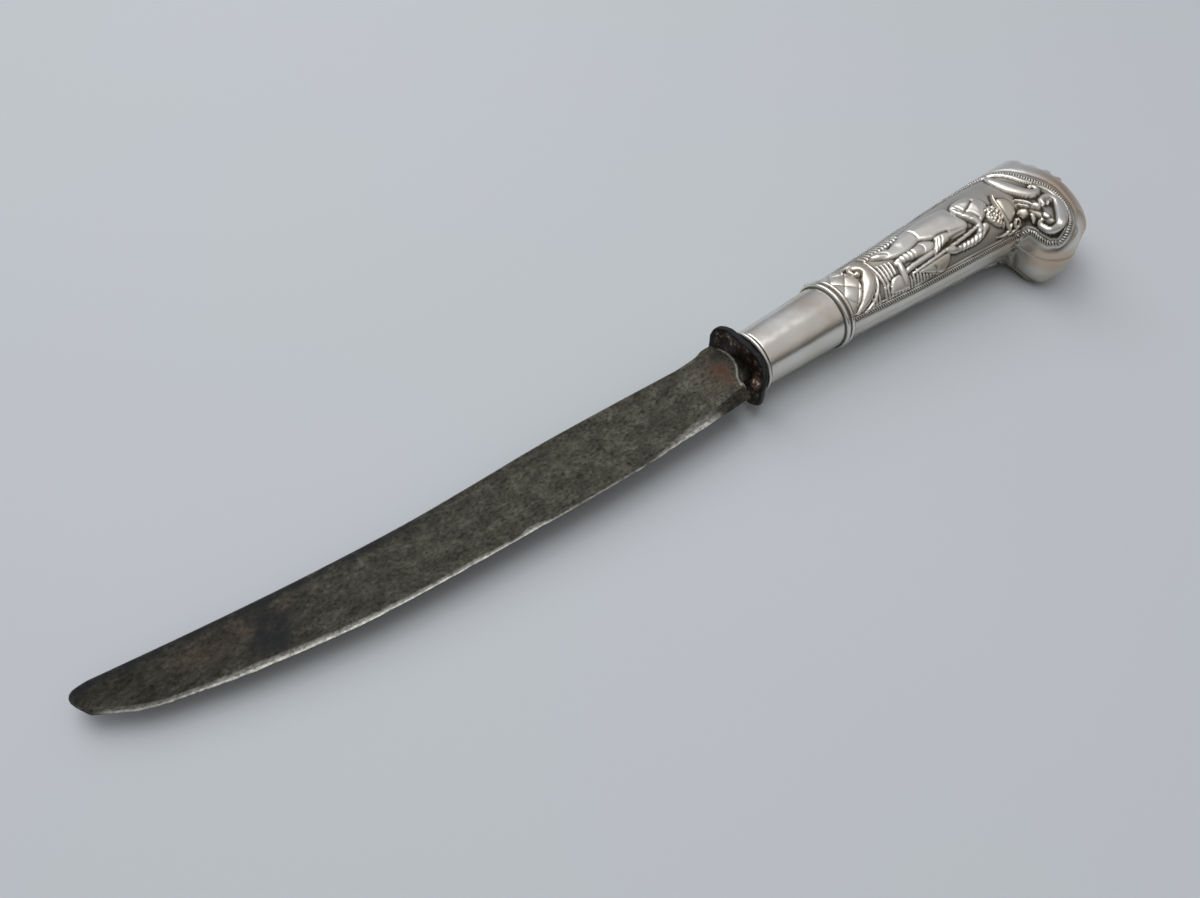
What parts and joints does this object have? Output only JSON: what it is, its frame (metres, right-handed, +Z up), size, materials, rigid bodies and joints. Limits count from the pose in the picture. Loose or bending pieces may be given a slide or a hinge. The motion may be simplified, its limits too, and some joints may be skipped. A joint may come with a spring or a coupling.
{
  "type": "peasant knife",
  "caption": "Old silver-handled peasant knife with a hooked pistol-grip handle of two stamped shells, a plain ferrule, an iron guard and a slender upswept blade.",
  "frame": {"origin": "bottom centre of the bounding box of the knife as it lies on its side on the table", "axes": "+X along the knife from the blade's tip to the hooked end, +Y toward the blade's spine, +Z up from the table"},
  "size_m": [0.2819, 0.041, 0.0219],
  "materials": {
    "blade_steel": "old carbon steel, dark grey-brown patina with fine pitting and a worn bright edge",
    "guard_iron": "blackened forged iron with rust in the hollows",
    "plain_silver": "plain polished silver with fine wear and light tarnish",
    "ring_silver": "polished silver wire with dark patina in the groove",
    "stamped_silver": "die-stamped silver relief, bright on the highs and dark in the recesses",
    "pitch": "dark cutler's pitch, matt"
  },
  "bodies": {
    "root": {"blade": "blade_steel", "guard_plate": "guard_iron", "closing_disc": "plain_silver", "ferrule": "plain_silver", "ring_sleeve": "ring_silver", "ring_front_wire": "ring_silver", "ring_back_wire": "ring_silver", "shell_upper": "stamped_silver", "shell_lower": "stamped_silver", "pitch_core": "pitch"}
  },
  "joints": []
}
